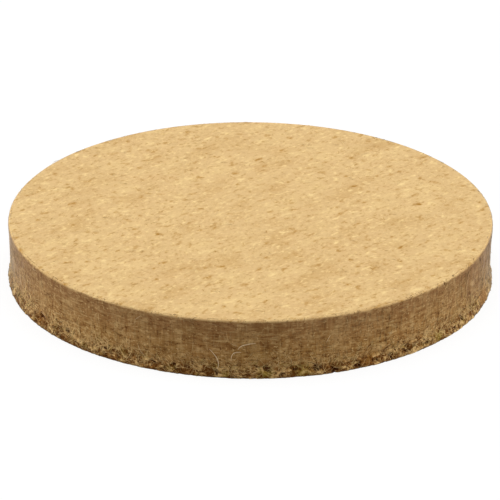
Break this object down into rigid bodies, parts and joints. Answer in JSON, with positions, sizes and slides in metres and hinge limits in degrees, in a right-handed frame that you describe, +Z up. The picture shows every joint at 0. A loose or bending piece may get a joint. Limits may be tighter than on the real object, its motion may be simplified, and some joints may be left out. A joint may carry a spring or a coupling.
{
  "type": "felt furniture pad",
  "caption": "Round die-cut disc of hard needled felt, flat top and underside, slightly hollow cut wall and a torn fibre lip round the lower edge.",
  "frame": {"origin": "middle of the flat underside", "axes": "+Z up through the disc, out of the pressed top face; X and Y lie in the underside"},
  "size_m": [0.0508, 0.0508, 0.0063],
  "materials": {
    "felt": "matt needled felt"
  },
  "bodies": {
    "root": {"felt_pad": "felt"}
  },
  "joints": []
}
